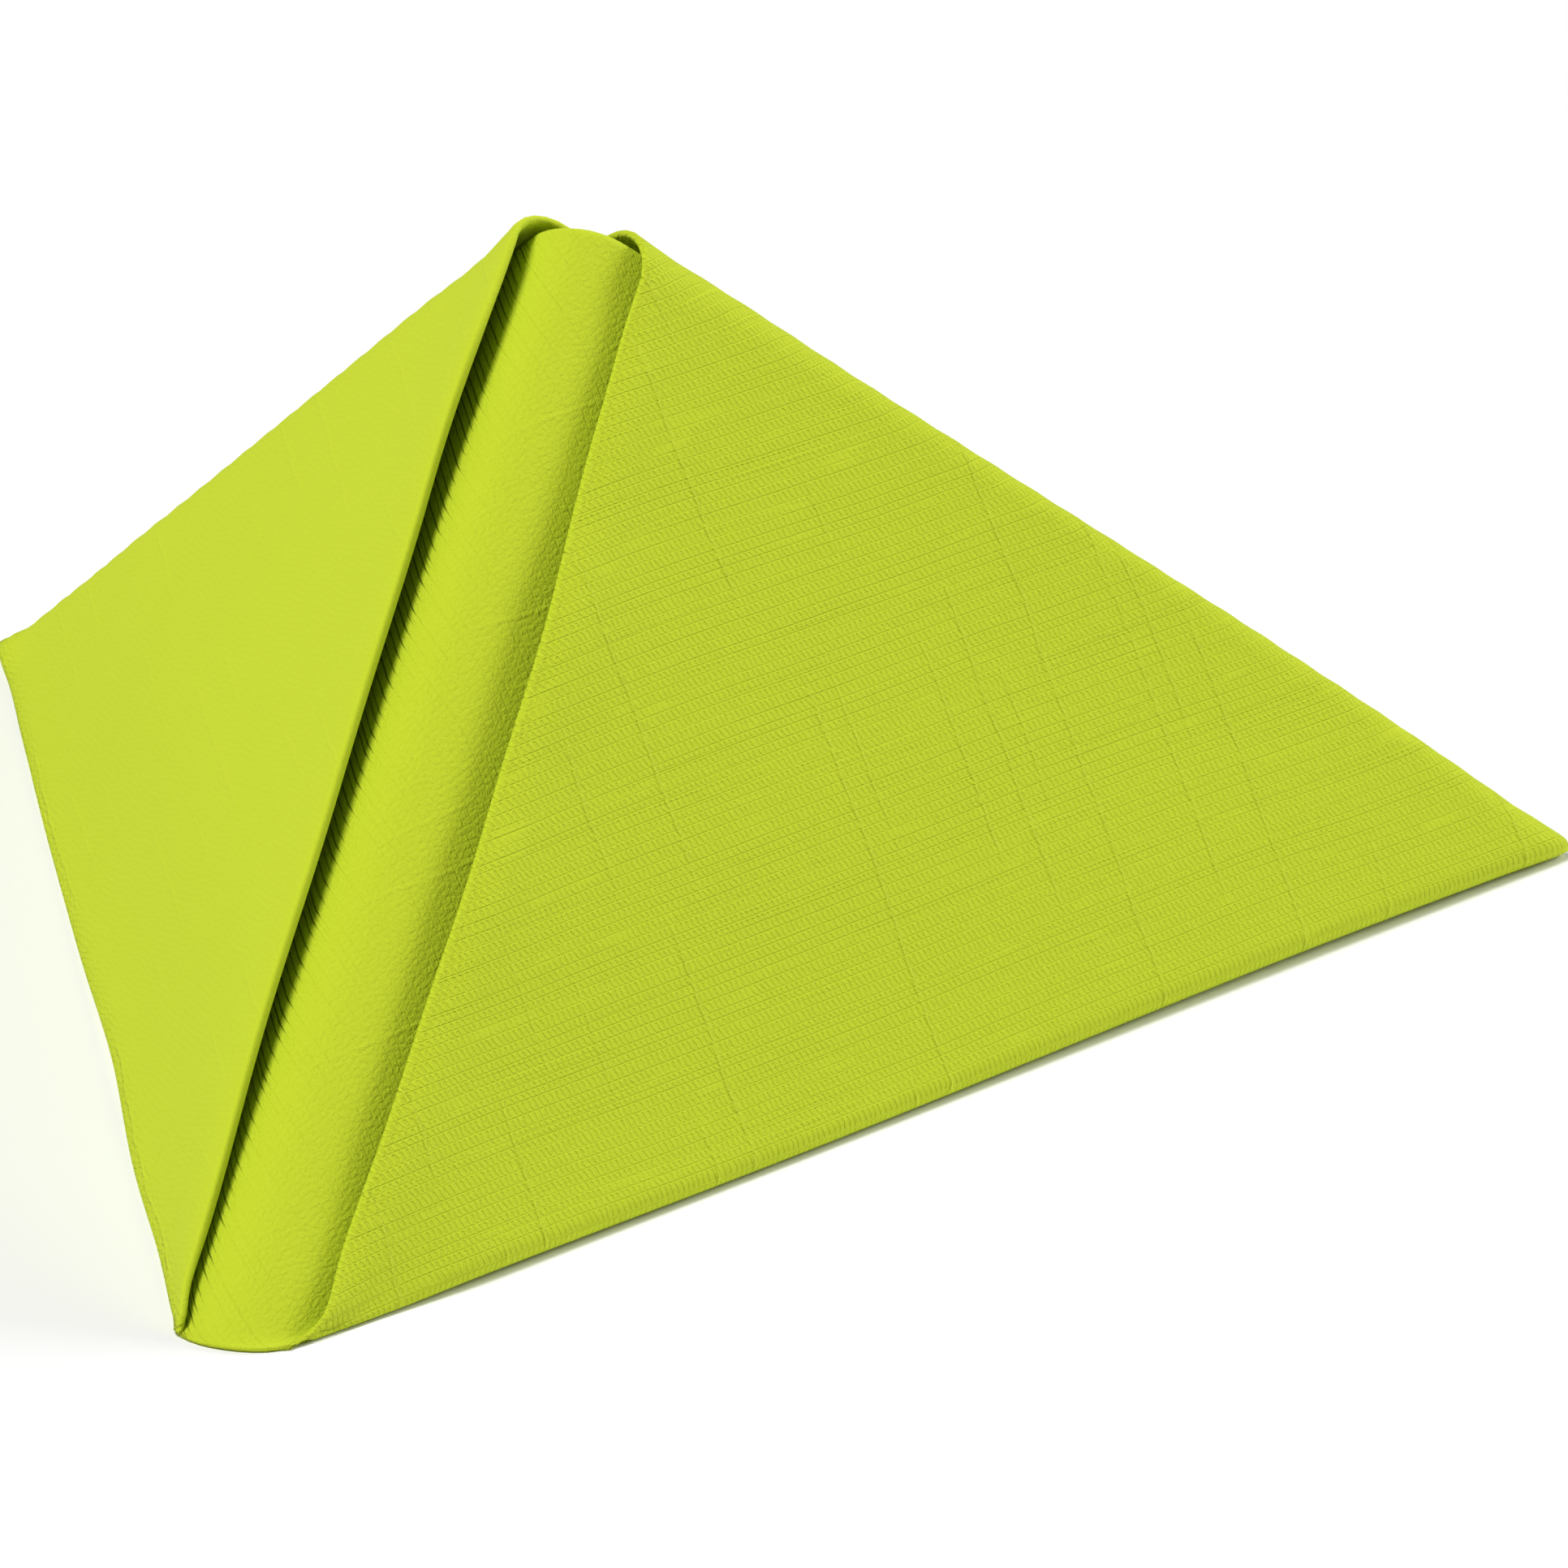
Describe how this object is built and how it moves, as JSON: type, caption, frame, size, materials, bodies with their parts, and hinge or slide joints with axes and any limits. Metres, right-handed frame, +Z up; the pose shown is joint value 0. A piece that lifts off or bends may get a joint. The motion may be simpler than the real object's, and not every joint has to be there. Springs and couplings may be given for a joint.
{
  "type": "paper napkin",
  "caption": "Square paper napkin folded into a free-standing pyramid with a rounded ridge band and two side flaps, for a place setting.",
  "frame": {"origin": "centre of the bounding box on the table plane that the base folds stand on", "axes": "+Z up; -Y towards the pointed front end of the ridge; +Y towards the open back; +X to the right of the ridge seen from the front"},
  "size_m": [0.1934, 0.1818, 0.0881],
  "materials": {
    "lime_paper": "matte, linen-embossed soft paper"
  },
  "bodies": {
    "root": {"folded_napkin": "lime_paper"}
  },
  "joints": []
}
